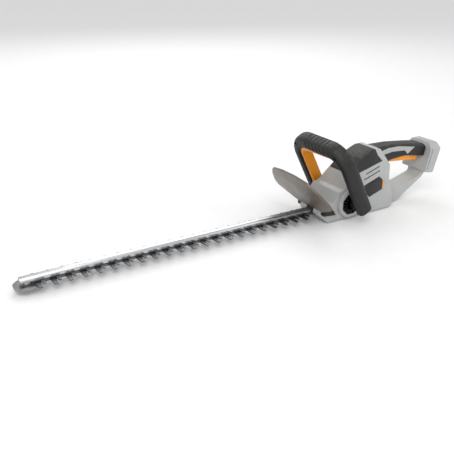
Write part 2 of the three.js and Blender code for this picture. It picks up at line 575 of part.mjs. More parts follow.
// A round spigot on each leg's inner face sits in the octagonal seat.
const SPIGOT_X = SEAT_X + 6;
const SPIGOT_R = 10;
const SPIGOT_END = FAIRING_Y - 4;
const spigots = union(SIDES.map(({ sign }) => prismY(
  disc(SPIGOT_X, SEAT_Z, SPIGOT_R, 20), ...span(sign, SPIGOT_END, LOOP.inner + 6))));
const handleBlank = cut(loopSolid.subtract(loopHollow).add(loopBosses).add(spigots),
  [barChannel, ...loopHoles]);
const halfLoop = (from, to) => prism(loopFrame, box(-FAR, FAR, -FAR, FAR), from, to);
add('front_handle_front', handleBlank.intersect(halfLoop(-FAR, -GAP / 2)), RUBBER_BLACK);
add('front_handle_rear', handleBlank.intersect(halfLoop(GAP / 2, FAR)), RUBBER_BLACK);

// Octagonal seats with radial ribs round the spigot.
for (const { name, sign } of SIDES) {
  const ribs = [];
  for (let rib = 0; rib < 16; rib += 1) {
    const bar = solid(new THREE.BoxGeometry(9, 4, 1.6).translate(16.5, 0, 0));
    ribs.push(bar.rotate([0, rib * 22.5, 0])
      .translate([SEAT_X, sign * FAIRING_Y, SEAT_Z]));
  }
  add(`handle_seat_${name}`, cut(union([
    prismY(octagon(0), ...span(sign, SOCKET_Y + GAP, FAIRING_Y)),
    ...ribs,
  ]), [prismY(disc(SPIGOT_X, SEAT_Z, SPIGOT_R + GAP, 20), ...span(sign, SPIGOT_END - GAP, 80))]),
  BLACK);
}

// Microswitch and return spring above the bar.
const barTop = BAR.top + BAR.travel;
add('front_switch', union([
  prism(loopFrame, box(-30, -10, barTop + 3, barTop + 14), -6, 6),
  prism(loopFrame, box(-24, -20, barTop + GAP, barTop + 4), -2, 2),
]), BLACK);

class Helix extends THREE.Curve {
  constructor(radius, height, turns) {
    super();
    Object.assign(this, { radius, height, turns });
  }

  getPoint(t) {
    const angle = 2 * Math.PI * this.turns * t;
    return new THREE.Vector3(
      this.radius * Math.cos(angle), this.radius * Math.sin(angle), this.height * t);
  }
}
function spring(radius, wire, height, turns, frame) {
  const geometry = new THREE.ExtrudeGeometry(disc(0, 0, wire, 4), {
    extrudePath: new Helix(radius, height, turns), steps: turns * 8, bevelEnabled: false });
  geometry.applyMatrix4(frame);
  return solid(geometry);
}
const springFrame = loopFrame.clone()
  .multiply(new THREE.Matrix4().makeTranslation(20, barTop + 1.2, 0))
  .multiply(new THREE.Matrix4().makeRotationX(-Math.PI / 2));
add('switch_bar_spring', spring(4, 0.6, 15.5, 5, springFrame), STEEL);

// ---------------------------------------------------------------- hand guard
const guardFrame = leaning(GUARD_FOOT, GUARD_TILT);
const guardOutline = (inset) => outline(mirrored([
  [38, -3 + inset, 3], [62 - inset, 12 + inset, 10], [87 - inset, 27 + inset / 2, 6],
  [87 - inset, 42, 10], [74 - inset, 68, 10], [56 - inset, 90 - inset, 14],
  [20, 97.5 - inset],
]));
const guard = cut(prism(guardFrame, guardOutline(0), -2.4, 1.6), [
  prism(guardFrame, guardOutline(5), -0.6, 3).intersect(prism(guardFrame, box(-90, 90, 10, 90), -9, 9)),
]);
add('hand_guard', guard.subtract(hull), SMOKE);
for (const { name, sign } of SIDES) {
  add(`guard_seat_${name}`, seatOf(sign, 0)
    .subtract(prism(guardFrame, guardOutline(-GAP), -2.4 - GAP, 1.6 + GAP)), BLACK);
}

// ---------------------------------------------------------------- trigger and electrics
const triggerBody = prismY(outline([
  [102, 97, 3], [104, 91, 3], [139, 88, 40], [184, 83, 3], [186, 90], [184, 98, 2], [150, 101],
  [112, 104, 3], [103, 104, 3],
]), -TRIGGER.half, TRIGGER.half, 1, 1);
add('trigger', triggerBody.subtract(
  prismY(disc(TRIGGER_PIVOT.x, TRIGGER_PIVOT.z, TRIGGER_PIVOT.r + 0.1, 16), -20, 20)), ORANGE);
add('trigger_pin', pinSeat(0), STEEL);

add('trigger_switch', prismY(box(122, 146, 108.5, 118), -8, 8), BLACK);
add('trigger_spring', spring(3.6, 0.6, 7.5, 4,
  new THREE.Matrix4().makeTranslation(168, 0, 107.2)), STEEL);
add('terminal_block', prismY(outline([
  [206.4, 70], [213, 68], [219.4, 93], [212.4, 95]]), -14, 14), BLACK);
[-7, 7].forEach((y, index) => {
  add(`terminal_blade_${index + 1}`, prismY(outline([
    [214.5, 72], [223, 70], [227, 86], [218.6, 88]]), y - 0.6, y + 0.6), BRASS);
});
add('control_board', prismZ(box(55, 78, -18, 18), 30, 31.6), WHITE_PLASTIC);

export default part;
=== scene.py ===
# %% [markdown]
# # A cordless hedge trimmer
#
# The machine has a long blade under an aluminium rail, a two-part body of grey plastic, a
# loop-shaped front handle, a hand guard and a D-shaped rear handle that ends in the mount for
# a battery. The working parts come from the CAD frame and stay where it puts them. This
# notebook makes the outside pieces again with finer shapes, and gives every piece its finish.
# All lengths are in metres; `MM` turns millimetres into metres.

# %% Load the frame
import json
import math

import bmesh
import bpy
from mathutils import Matrix, Vector

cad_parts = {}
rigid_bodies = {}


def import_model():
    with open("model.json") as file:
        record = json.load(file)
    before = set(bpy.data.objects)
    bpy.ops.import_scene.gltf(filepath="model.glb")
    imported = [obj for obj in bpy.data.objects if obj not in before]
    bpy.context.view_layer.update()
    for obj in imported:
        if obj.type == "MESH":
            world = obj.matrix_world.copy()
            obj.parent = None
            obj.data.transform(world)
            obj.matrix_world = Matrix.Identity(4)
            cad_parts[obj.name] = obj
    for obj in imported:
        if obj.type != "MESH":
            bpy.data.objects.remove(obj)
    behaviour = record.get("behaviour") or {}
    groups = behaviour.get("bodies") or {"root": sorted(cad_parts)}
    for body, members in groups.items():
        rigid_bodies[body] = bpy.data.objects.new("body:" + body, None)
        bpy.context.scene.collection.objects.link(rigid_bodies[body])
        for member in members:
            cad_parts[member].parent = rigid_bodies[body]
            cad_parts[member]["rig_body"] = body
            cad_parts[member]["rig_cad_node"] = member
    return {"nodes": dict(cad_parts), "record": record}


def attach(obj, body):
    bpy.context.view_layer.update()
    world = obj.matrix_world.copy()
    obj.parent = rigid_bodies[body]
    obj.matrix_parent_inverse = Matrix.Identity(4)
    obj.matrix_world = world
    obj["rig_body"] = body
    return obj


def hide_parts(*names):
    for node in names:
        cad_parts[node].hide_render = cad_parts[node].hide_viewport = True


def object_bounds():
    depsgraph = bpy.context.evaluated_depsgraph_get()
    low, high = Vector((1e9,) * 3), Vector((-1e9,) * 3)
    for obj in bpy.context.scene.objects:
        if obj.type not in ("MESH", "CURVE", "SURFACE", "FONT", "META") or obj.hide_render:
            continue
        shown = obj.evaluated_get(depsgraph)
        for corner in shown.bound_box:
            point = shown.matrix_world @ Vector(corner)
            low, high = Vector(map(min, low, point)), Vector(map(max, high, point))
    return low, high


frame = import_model()
cad_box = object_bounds()
nodes = frame["nodes"]
MM = 0.001
print("CAD box", [tuple(round(v, 4) for v in corner) for corner in cad_box])

# %% [markdown]
# ## Camera
# A product picture like this is taken from the left and a little above, with a lens of about
# 50 mm. The camera is placed as given, because its angle decides which faces show.

# %% Set up the camera
bpy.ops.object.camera_add(
    location=(-0.84258, -0.93330, 0.51261),
    rotation=(math.radians(65.922), 0, math.radians(-30.894)))
camera = bpy.context.object
camera.name = "camera"
camera.data.lens = 50.78
camera.data.sensor_width = 36
camera.data.clip_start = 0.05
bpy.context.scene.camera = camera
print("camera lens", camera.data.lens, "mm")

# %% [markdown]
# ## Floor and light
# A pale floor and three large soft lights make a plain studio. The key light stands high on
# the left, the fill on the right is weaker, and the light behind draws a bright line along the
# upper edges. The world adds an even pale light, which is what glossy faces mirror.

# %% Lay the floor
FLOOR_Z = cad_box[0].z - 0.5 * MM
bpy.ops.mesh.primitive_plane_add(size=40, location=(0, 0, FLOOR_Z))
floor = bpy.context.object
floor.name = "studio_floor"

# %% Place the lights
def soft_light(name, place, aim, width, watts):
    bpy.ops.object.light_add(type="AREA", location=place)
    lamp = bpy.context.object
    lamp.name = name
    lamp.data.size = width
    lamp.data.energy = watts
    lamp.rotation_euler = (Vector(aim) - Vector(place)).to_track_quat("-Z", "Y").to_euler()
    return lamp


MIDDLE = (cad_box[0] + cad_box[1]) / 2
soft_light("key_light", (-1.3, -1.5, 2.1), MIDDLE, 1.6, 29)
soft_light("fill_light", (1.6, -1.2, 1.0), MIDDLE, 1.4, 6)
soft_light("rim_light", (0.5, 1.9, 1.7), MIDDLE, 1.6, 17)

world = bpy.data.worlds.new("studio")
world.use_nodes = True
world.node_tree.nodes["Background"].inputs["Color"].default_value = (1, 1, 1, 1)
world.node_tree.nodes["Background"].inputs["Strength"].default_value = 0.74
bpy.context.scene.world = world
bpy.context.scene.view_settings.view_transform = "Standard"
print("three soft lights aimed at", tuple(round(value, 3) for value in MIDDLE))

# %% [markdown]
# ## Surface effects as node groups
# Most finishes share a few effects, so each effect is built once as a shader node group and
# placed in the materials with its own values. The groups put out only colours, values and
# heights; the Principled shader stays in each material. They read object coordinates, so a
# pattern keeps its real size on every piece.

# %% Small tools for nodes
def new_group(name, inputs, outputs):
    group = bpy.data.node_groups.new(name, "ShaderNodeTree")
    for label, kind, value in inputs:
        socket = group.interface.new_socket(name=label, in_out="INPUT", socket_type=kind)
        socket.default_value = value
    for label, kind in outputs:
        group.interface.new_socket(name=label, in_out="OUTPUT", socket_type=kind)
    start = group.nodes.new("NodeGroupInput")
    end = group.nodes.new("NodeGroupOutput")
    return group, start, end


def node(tree, kind, values=(), **settings):
    made = tree.nodes.new(kind)
    for key, value in settings.items():
        setattr(made, key, value)
    for key, value in dict(values).items():
        made.inputs[key].default_value = value
    return made


def noise(tree, scale, detail, where, stretch=None):
    """Noise whose features are about 1/scale metres, squeezed along the axes by stretch."""
    made = node(tree, "ShaderNodeTexNoise", {"Scale": scale, "Detail": detail})
    if stretch:
        mapping = node(tree, "ShaderNodeMapping", {"Scale": stretch})
        tree.links.new(where, mapping.inputs["Vector"])
        where = mapping.outputs["Vector"]
    tree.links.new(where, made.inputs["Vector"])
    return made.outputs["Fac"]


def map_range(tree, value, low, high, out_low, out_high):
    made = node(tree, "ShaderNodeMapRange", {
        "From Min": low, "From Max": high, "To Min": out_low, "To Max": out_high})
    tree.links.new(value, made.inputs["Value"])
    return made.outputs["Result"]


def math_node(tree, operation, first, second):
    made = node(tree, "ShaderNodeMath", operation=operation)
    for socket, value in zip(made.inputs, (first, second)):
        if isinstance(value, (int, float)):
            socket.default_value = value
        else:
            tree.links.new(value, socket)
    return made.outputs["Value"]


def mix_colour(tree, factor, first, second):
    made = node(tree, "ShaderNodeMix", data_type="RGBA")
    for key, value in ((0, factor), (6, first), (7, second)):
        if isinstance(value, (int, float, tuple)):
            made.inputs[key].default_value = value
        else:
            tree.links.new(value, made.inputs[key])
    return made.outputs[2]


# %% Moulded plastic grain
# A mould leaves a fine, even grain. Broad patches stand for uneven cooling and handling.
def build_moulded_grain():
    group, start, end = new_group("moulded_grain", [
        ("Grain Scale", "NodeSocketFloat", 1400.0), ("Grain Depth", "NodeSocketFloat", 0.5),
        ("Colour", "NodeSocketColor", (0.5, 0.5, 0.5, 1)),
        ("Patch Colour", "NodeSocketColor", (0.45, 0.45, 0.45, 1)),
        ("Roughness", "NodeSocketFloat", 0.5), ("Roughness Spread", "NodeSocketFloat", 0.08)],
        [("Colour", "NodeSocketColor"), ("Roughness", "NodeSocketFloat"),
         ("Height", "NodeSocketFloat")])
    place = node(group, "ShaderNodeTexCoord").outputs["Object"]
    fine = node(group, "ShaderNodeTexNoise", {"Detail": 3.0})
    group.links.new(place, fine.inputs["Vector"])
    group.links.new(start.outputs["Grain Scale"], fine.inputs["Scale"])
    patches = noise(group, 28, 4, place)
    soft = map_range(group, patches, 0.35, 0.65, 0, 1)
    colour = mix_colour(group, soft, start.outputs["Colour"], start.outputs["Patch Colour"])
    spread = math_node(group, "MULTIPLY", start.outputs["Roughness Spread"],
                       map_range(group, patches, 0.3, 0.7, -1, 1))
    rough = math_node(group, "ADD", start.outputs["Roughness"], spread)
    height = math_node(group, "MULTIPLY", fine.outputs["Fac"], start.outputs["Grain Depth"])
    group.links.new(colour, end.inputs["Colour"])
    group.links.new(rough, end.inputs["Roughness"])
    group.links.new(height, end.inputs["Height"])
    return group


moulded_grain = build_moulded_grain()

# %% Handling dust
# Fine pale dust settles on faces that look up, and breaks up into specks.
def build_settled_dust():
    group, start, end = new_group("settled_dust", [
        ("Amount", "NodeSocketFloat", 0.2), ("Colour", "NodeSocketColor", (0.5, 0.5, 0.5, 1)),
        ("Dust Colour", "NodeSocketColor", (0.42, 0.40, 0.36, 1))],
        [("Colour", "NodeSocketColor"), ("Mask", "NodeSocketFloat")])
    place = node(group, "ShaderNodeTexCoord")
    up = node(group, "ShaderNodeSeparateXYZ")
    group.links.new(place.outputs["Normal"], up.inputs["Vector"])
    facing = map_range(group, up.outputs["Z"], 0.2, 1.0, 0, 1)
    specks = map_range(group, noise(group, 160, 6, place.outputs["Object"]), 0.45, 0.75, 0, 1)
    mask = math_node(group, "MULTIPLY", math_node(group, "MULTIPLY", facing, specks),
                     start.outputs["Amount"])
    colour = mix_colour(group, mask, start.outputs["Colour"], start.outputs["Dust Colour"])
    group.links.new(colour, end.inputs["Colour"])
    group.links.new(mask, end.inputs["Mask"])
    return group


settled_dust = build_settled_dust()

# %% Drawn and ground metal
# A drawn or ground face carries long parallel scratches, here along X, the way the rail is
# pulled through its die and the blades pass under the grinding wheel.
def build_drawn_lines():
    group, start, end = new_group("drawn_lines", [
        ("Line Scale", "NodeSocketFloat", 900.0), ("Depth", "NodeSocketFloat", 0.5),
        ("Colour", "NodeSocketColor", (0.6, 0.6, 0.6, 1)),
        ("Dark Colour", "NodeSocketColor", (0.4, 0.4, 0.4, 1)),
        ("Roughness", "NodeSocketFloat", 0.35), ("Roughness Spread", "NodeSocketFloat", 0.1)],
        [("Colour", "NodeSocketColor"), ("Roughness", "NodeSocketFloat"),
         ("Height", "NodeSocketFloat")])
    place = node(group, "ShaderNodeTexCoord").outputs["Object"]
    mapping = node(group, "ShaderNodeMapping", {"Scale": (0.03, 1, 1)})
    group.links.new(place, mapping.inputs["Vector"])
    lines = node(group, "ShaderNodeTexNoise", {"Detail": 4.0})
    group.links.new(mapping.outputs["Vector"], lines.inputs["Vector"])
    group.links.new(start.outputs["Line Scale"], lines.inputs["Scale"])
    stains = noise(group, 35, 5, place)
    mottled = math_node(group, "ADD", math_node(group, "MULTIPLY", lines.outputs["Fac"], 0.6),
                        math_node(group, "MULTIPLY", stains, 0.4))
    factor = map_range(group, mottled, 0.35, 0.65, 0, 1)
    colour = mix_colour(group, factor, start.outputs["Dark Colour"], start.outputs["Colour"])
    spread = math_node(group, "MULTIPLY", start.outputs["Roughness Spread"],
                       map_range(group, mottled, 0.3, 0.7, 1, -1))
    rough = math_node(group, "ADD", start.outputs["Roughness"], spread)
    height = math_node(group, "MULTIPLY", lines.outputs["Fac"], start.outputs["Depth"])
    group.links.new(colour, end.inputs["Colour"])
    group.links.new(rough, end.inputs["Roughness"])
    group.links.new(height, end.inputs["Height"])
    return group


drawn_lines = build_drawn_lines()

# %% [markdown]
# ## Materials
# Each finish is a Principled shader fed by one or two of the groups. Plastics use the moulded
# grain and some dust; metals use the drawn lines. Values that are the same all over a piece
# are set on the shader itself.

# %% Tools for materials
def colour_of(hex_code):
    """Linear colour from the six-figure code that a paint chart gives."""
    parts = [int(hex_code[i:i + 2], 16) / 255 for i in (0, 2, 4)]
    return tuple(c / 12.92 if c <= 0.04045 else ((c + 0.055) / 1.055) ** 2.4
                 for c in parts) + (1,)


def start_material(name):
    material = bpy.data.materials.new(name)
    material.use_nodes = True
    return material, material.node_tree, material.node_tree.nodes["Principled BSDF"]


def place_group(tree, group, values):
    made = tree.nodes.new("ShaderNodeGroup")
    made.node_tree = group
    for key, value in values.items():
        made.inputs[key].default_value = value
    return made


def bump(tree, shader, height, distance, strength=1.0):
    made = node(tree, "ShaderNodeBump", {"Distance": distance, "Strength": strength})
    tree.links.new(height, made.inputs["Height"])
    tree.links.new(made.outputs["Normal"], shader.inputs["Normal"])


def plastic(name, colour, patch, roughness, grain=1400, depth=0.05 * MM, dust=0.2, coat=0.0,
            spread=0.06):
    material, tree, shader = start_material(name)
    grained = place_group(tree, moulded_grain, {
        "Grain Scale": grain, "Grain Depth": 1.0, "Colour": colour_of(colour),
        "Patch Colour": colour_of(patch), "Roughness": roughness, "Roughness Spread": spread})
    dusty = place_group(tree, settled_dust, {"Amount": dust})
    tree.links.new(grained.outputs["Colour"], dusty.inputs["Colour"])
    tree.links.new(dusty.outputs["Colour"], shader.inputs["Base Color"])
    tree.links.new(grained.outputs["Roughness"], shader.inputs["Roughness"])
    bump(tree, shader, grained.outputs["Height"], depth)
    shader.inputs["Coat Weight"].default_value = coat
    shader.inputs["Coat Roughness"].default_value = 0.2
    return material


def metal(name, colour, dark, roughness, lines=900, depth=0.03 * MM, spread=0.1, metallic=1.0):
    material, tree, shader = start_material(name)
    drawn = place_group(tree, drawn_lines, {
        "Line Scale": lines, "Depth": 1.0, "Colour": colour_of(colour),
        "Dark Colour": colour_of(dark), "Roughness": roughness, "Roughness Spread": spread})
    tree.links.new(drawn.outputs["Colour"], shader.inputs["Base Color"])
    tree.links.new(drawn.outputs["Roughness"], shader.inputs["Roughness"])
    bump(tree, shader, drawn.outputs["Height"], depth)
    shader.inputs["Metallic"].default_value = metallic
    return material


# %% Make the finishes
shell_grey = plastic("shell_grey_plastic", "adafae", "a8aaa9", 0.42, grain=1800, dust=0.05)
charcoal_rubber = plastic("charcoal_soft_rubber", "1b1a19", "161514", 0.55, grain=1100,
                          depth=0.08 * MM, dust=0.10)
black_plastic = plastic("black_plastic", "121212", "0e0e0e", 0.38, dust=0.05)
badge_black = plastic("badge_satin_black", "141415", "101010", 0.3, grain=2400, dust=0.0)
orange_plastic = plastic("orange_plastic", "fb9e04", "f79702", 0.33, grain=2200,
                         depth=0.02 * MM, dust=0.03, coat=0.3)
rail_aluminium = metal("drawn_aluminium", "d6d8d9", "bcbec0", 0.30, lines=700)
plate_steel = metal("plate_steel", "a2a2a0", "858583", 0.38)
screw_steel = metal("screw_steel", "77787a", "5a5b5d", 0.35, lines=2500)
gear_steel = metal("gear_steel", "8d8a84", "6f6c68", 0.32, lines=1500)
# The motor can is near-black as painted shade: it stands for the shade seen through the vents.
motor_can_shade = plastic("motor_can_painted_shade", "161617", "111112", 0.35, dust=0.03)
cast_aluminium = metal("cast_aluminium", "9fa1a3", "85878a", 0.55, lines=400, depth=0.12 * MM)
turned_brass = metal("turned_brass", "c39b4b", "9b7632", 0.28, lines=1800)
board_laminate = plastic("board_laminate", "2f6d3c", "285f35", 0.35, grain=900, dust=0.0)


# %% [markdown]
# The hand guard is a smoky clear plastic. Light passes through it, so it is lighter where the
# pale room shows from behind and darker where the body stands behind it. A weak grain keeps
# it from looking like window glass.

# %% Make the smoky guard plastic
def smoky_plastic():
    material, tree, shader = start_material("smoky_clear_plastic")
    grained = place_group(tree, moulded_grain, {
        "Grain Scale": 700, "Grain Depth": 1.0, "Colour": colour_of("7f756c"),
        "Patch Colour": colour_of("776d64"), "Roughness": 0.32, "Roughness Spread": 0.05})
    tree.links.new(grained.outputs["Colour"], shader.inputs["Base Color"])
    tree.links.new(grained.outputs["Roughness"], shader.inputs["Roughness"])
    bump(tree, shader, grained.outputs["Height"], 0.04 * MM)
    shader.inputs["Transmission Weight"].default_value = 0.35
    shader.inputs["IOR"].default_value = 1.46
    return material


guard_plastic = smoky_plastic()

# %% Give the floor its finish
floor.data.materials.append(plastic("studio_floor_paint", "f4f4f4", "f2f2f2", 0.8, dust=0.0))

# %% [markdown]
# ## Finishes of the CAD nodes
# The pieces inside the machine keep their CAD shape. Each gets the finish of its real
# material: ground steel for the gear train, cast metal for the gear case, brass for the
# pinion and the battery contacts. The motor can is near-black instead, as painted shade
# that makes the vents read dark.

# %% Paint the CAD nodes
def paint(piece, material):
    piece.data.materials.clear()
    piece.data.materials.append(material)


CAD_FINISHES = {
    "shell": shell_grey, "rubber": charcoal_rubber, "black": black_plastic,
    "orange": orange_plastic, "smoke": guard_plastic, "rail": rail_aluminium,
    "steel": screw_steel, "casting": cast_aluminium, "brass": turned_brass,
    "board": board_laminate}
for entry in frame["record"]["subparts"]:
    paint(nodes[entry["node"]], CAD_FINISHES[entry["material_slot"]])
for name in ("drive_gear", "gear_shaft", "cam_lower", "cam_upper", "motor_can", "motor_rotor",
             "bearing_lower", "bearing_upper"):
    paint(nodes[name], gear_steel)
for name in ("badge_left", "badge_right"):
    paint(nodes[name], badge_black)
# Painted shade: the near-black motor can makes the vents read dark.
paint(nodes["motor_can"], motor_can_shade)
print("painted", len(nodes), "CAD nodes")

# %% [markdown]
# ## Making pieces
# Most outside pieces are flat outlines with rounded corners, pulled out to a thickness. The
# outline starts as a circle primitive with one vertex for each corner point, the vertices are
# placed, and the face is extruded. Cuts are boolean modifiers, applied at once. The numbers
# are the machine's own sizes, in millimetres, in the frame of the CAD model.

# %% Tools for edit mode
GAP = 0.3  # clearance between pieces that touch
WALL = 3.0  # wall of the body shells
FAR = 400.0  # past every piece
FLANK = 60.0  # past the flanks of the body


def only(piece):
    """Selects one piece and nothing else."""
    bpy.ops.object.select_all(action="DESELECT")
    piece.select_set(True)
    bpy.context.view_layer.objects.active = piece


def edit(piece, kind="EDGE"):
    only(piece)
    bpy.ops.object.mode_set(mode="EDIT")
    bpy.ops.mesh.select_mode(type=kind)
    bpy.ops.mesh.select_all(action="DESELECT")


def leave_edit():
    bpy.ops.object.mode_set(mode="OBJECT")


def choose(piece, kind, test):
    """Selects the verts, edges or faces of the open piece that pass the test."""
    mesh = bmesh.from_edit_mesh(piece.data)
    mesh.normal_update()
    chosen = [item for item in getattr(mesh, kind) if test(item)]
    for item in chosen:
        item.select_set(True)
    bmesh.update_edit_mesh(piece.data)
    return len(chosen)


def smooth(piece, angle=32):
    only(piece)
    bpy.ops.object.shade_smooth_by_angle(angle=math.radians(angle))


def apply_modifier(piece, kind, **settings):
    only(piece)
    bpy.ops.object.modifier_add(type=kind)
    change = piece.modifiers[-1]
    for key, value in settings.items():
        setattr(change, key, value)
    bpy.ops.object.modifier_apply(modifier=change.name)


def round_edges(piece, width, segments=3, angle=22):
    apply_modifier(piece, "BEVEL", width=width * MM, segments=segments, limit_method="ANGLE",
                   angle_limit=math.radians(angle), miter_outer="MITER_ARC")


def combine(piece, tool, operation="DIFFERENCE", keep_tool=False):
    apply_modifier(piece, "BOOLEAN", object=tool, operation=operation, solver="EXACT")
    if not keep_tool:
        bpy.data.objects.remove(tool)
    return piece


def copy_of(piece, name):
    only(piece)
    bpy.ops.object.duplicate()
    twin = bpy.context.object
    twin.name = name
    twin.data.name = name
    return twin


# %% Outlines and slabs
def rounded(corners, steps=6):
    """Outline through corner points [a, b, radius]; a corner with a radius becomes an arc."""
    points = []
    for index, corner in enumerate(corners):
        a, b, radius = (*corner, 0)[:3]
        here = Vector((a, b))
        if radius == 0:
            points.append(here)
            continue
        before = (Vector(corners[index - 1][:2]) - here).normalized()
        after = (Vector(corners[(index + 1) % len(corners)][:2]) - here).normalized()
        half = before.angle(after) / 2
        middle = here + (before + after).normalized() * radius / math.sin(half)
        first = here + before * radius / math.tan(half) - middle
        last = here + after * radius / math.tan(half) - middle
        start = math.atan2(first.y, first.x)
        sweep = (math.atan2(last.y, last.x) - start + math.pi) % math.tau - math.pi
        for step in range(steps + 1):
            angle = start + sweep * step / steps
            points.append(middle + radius * Vector((math.cos(angle), math.sin(angle))))
    return points


def mirrored(half):
    """The points on the right, then their images on the left in reverse order."""
    return half + [(-a, *rest) for a, *rest in reversed(half)]


def mirrored_plan(half):
    """The same for a plan, which is mirrored across the length of the machine."""
    return [(x, -y) for x, y in half] + list(reversed(half))


def rectangle(a0, a1, b0, b1, radius=0):
    return [(a0, b0, radius), (a1, b0, radius), (a1, b1, radius), (a0, b1, radius)]


def basis(right, up, out, foot=(0, 0, 0)):
    """The frame in which an outline is drawn; it also turns millimetres into metres."""
    turn = Matrix((right, up, out)).transposed().to_4x4()
    return Matrix.Scale(MM, 4) @ Matrix.Translation(foot) @ turn


ALONG_X = basis((0, 1, 0), (0, 0, 1), (1, 0, 0))
ALONG_Y = basis((1, 0, 0), (0, 0, 1), (0, -1, 0))
ALONG_Z = basis((1, 0, 0), (0, 1, 0), (0, 0, 1))


def slab(name, points, low, high, place, round_by=0, segments=4):
    """An outline pulled from one depth to another, with its two rims rounded."""
    bpy.ops.mesh.primitive_circle_add(vertices=len(points), radius=1, fill_type="NGON")
    piece = bpy.context.object
    piece.name = name
    piece.data.name = name
    for vertex, point in zip(piece.data.vertices, points):
        vertex.co = (point[0], point[1], low)
    edit(piece, "FACE")
    bpy.ops.mesh.select_all(action="SELECT")
    bpy.ops.mesh.extrude_region_move(TRANSFORM_OT_translate={"value": (0, 0, high - low)})
    bpy.ops.mesh.select_all(action="SELECT")
    bpy.ops.mesh.normals_make_consistent(inside=False)
    if round_by:
        bpy.ops.mesh.select_mode(type="EDGE")
        bpy.ops.mesh.select_all(action="DESELECT")
        choose(piece, "edges", lambda e: abs(e.verts[0].co.z - e.verts[1].co.z) < 0.01)
        bpy.ops.mesh.bevel(offset=round_by, segments=segments, profile=0.5, affect="EDGES")
    leave_edit()
    piece.data.transform(place)
    return piece


def slab_y(name, points, y0, y1, **rim):
    return slab(name, points, -y1, -y0, ALONG_Y, **rim)


def disc(a, b, radius, sides=24, turn=0.0):
    return [Vector((a + radius * math.cos(turn + math.tau * i / sides),
                    b + radius * math.sin(turn + math.tau * i / sides)))
            for i in range(sides)]


def both_sides(near, far):
    return [("left", -far, -near), ("right", near, far)]


# %% [markdown]
# ## The body shells
# The body is moulded in two halves of grey plastic. Its shape is what three outlines have in
# common: the side view, the plan and the view from the end. Making it as an intersection of
# three slabs keeps all the slanted flanks flat and their edges straight, as on the real
# moulding. The rear arm, the battery mount and the round fairings are added, then everything
# that opens the shell is cut.

# %% Outlines of the body
def body_side(inset):
    return rounded([
        (-92 + inset, 19, 2), (-72 + inset, inset), (90, inset, 5), (104 - inset, 9 + inset, 4),
        (100 - inset, 22, 10), (88 - inset, 46, 20), (80 - inset, 68, 16), (83 - inset, 96, 4),
        (60 - inset / 2, 131 - inset, 6), (38, 131 - inset, 6), (10 + inset, 117 - inset, 6),
        (-41 + inset, 64 - inset, 6), (-54, 63 - inset, 5), (-66 + inset, 42 - inset, 8),
        (-90 + inset, 31 - inset, 3)])


def body_plan(inset):
    return rounded(mirrored_plan([
        (-92 + inset, 28), (-86 + inset, 37 - inset), (-70 + inset, 40 - inset),
        (76, 40 - inset), (98 - inset, 36 - inset), (104 - inset, 30 - inset)]))


def body_end(inset):
    return rounded(mirrored([
        (36 - inset, inset), (40 - inset, 6 + inset), (40 - inset, 62), (35 - inset, 97),
        (26 - inset, 131 - inset)]))


def body_solid(name, inset=0):
    solid = slab_y(name, body_side(inset), -FLANK, FLANK)
    combine(solid, slab("plan", body_plan(inset), -10, 150, ALONG_Z), "INTERSECT")
    return combine(solid, slab("end", body_end(inset), -110, 120, ALONG_X), "INTERSECT")


# %% [markdown]
# The rear handle is an arm with a hole for the hand. Its upper part is gripped, so it is
# rounded much more than the leg below. Bevelling one outline with two widths would tear the
# mesh where the widths meet, so the grip and the leg are two slabs joined by a union.

# %% The arm, the mount and the fairings
ARM_HALF = 19.0
LOOP_HOLE = [
    (93, 98, 8, -1, 1), (90, 76, 20, -1, 0), (95, 58, 20, -1, -0.4), (104, 40, 10, -1, -0.6),
    (117, 28, 8, -0.6, -1), (193, 49, 9, 1, -1), (200, 91, 7, 1, 1), (140, 101, 60, 0, 1)]


def arm_outline(inset):
    return rounded([
        (50, 130 - inset), (108, 128.5 - inset, 60), (160, 123 - inset, 60),
        (197, 118 - inset, 20), (216 - inset, 112 - inset, 8), (207 - inset, 54, 6),
        (198, 43 + inset, 12), (128, 1 + inset, 14), (50, inset)])


def arm_hole(name, grow=0.0):
    corners = [(x + grow * dx, z + grow * dz, radius + grow)
               for x, z, radius, dx, dz in LOOP_HOLE]
    return slab_y(name, rounded(corners), -FLANK, FLANK)


def arm_solid(name, inset=0.0, round_by=0.0):
    """The rear arm: the grip above and the leg below, each with its own rounding."""
    half = ARM_HALF - inset
    if not round_by:
        return slab_y(name, arm_outline(inset), -half, half)
    leg = slab_y(name, rounded([
        (50, 85), (213, 85), (207, 54, 9), (198, 43, 12), (128, 1, 14), (50, 0)]),
        -half, half, round_by=2.5)
    grip = slab_y("grip", rounded([
        (50, 130), (108, 128.5, 60), (160, 123, 60), (197, 118, 20), (216, 112, 8), (213, 74),
        (50, 74)]), -half, half, round_by=round_by)
    return combine(leg, grip, "UNION")


def mount_solid(name):
    side_view = rounded([(190, 59, 4), (214, 55, 5), (229, 108, 7), (224, 121, 6), (203, 123, 4)])
    mount = slab_y(name, side_view, -34, 34)
    crown = rounded(mirrored([(36, 40), (34, 108, 12), (24, 121, 8), (8, 123)]))
    return combine(mount, slab("crown", crown, 150, 260, ALONG_X), "INTERSECT")


SEAT_X = -25.0  # middle of the round fairing and of the seat in it
SEAT_Z = 36.0
FAIRING_R = 29.0


def octagon(grow):
    return disc(SEAT_X, SEAT_Z, 23 + grow, 8, math.pi / 8)


# %% Join the outside of the body
HULL_ROUND = 1.6
GRIP_ROUND = 6.5
HOLE_ROUND = 1.2
MOUNT_ROUND = 2.2
FAIRING_ROUND = 2.5
hull = body_solid("hull")
round_edges(hull, HULL_ROUND, 3, 14)
arm = arm_solid("arm", 0, GRIP_ROUND)
combine(arm, arm_hole("hole"))
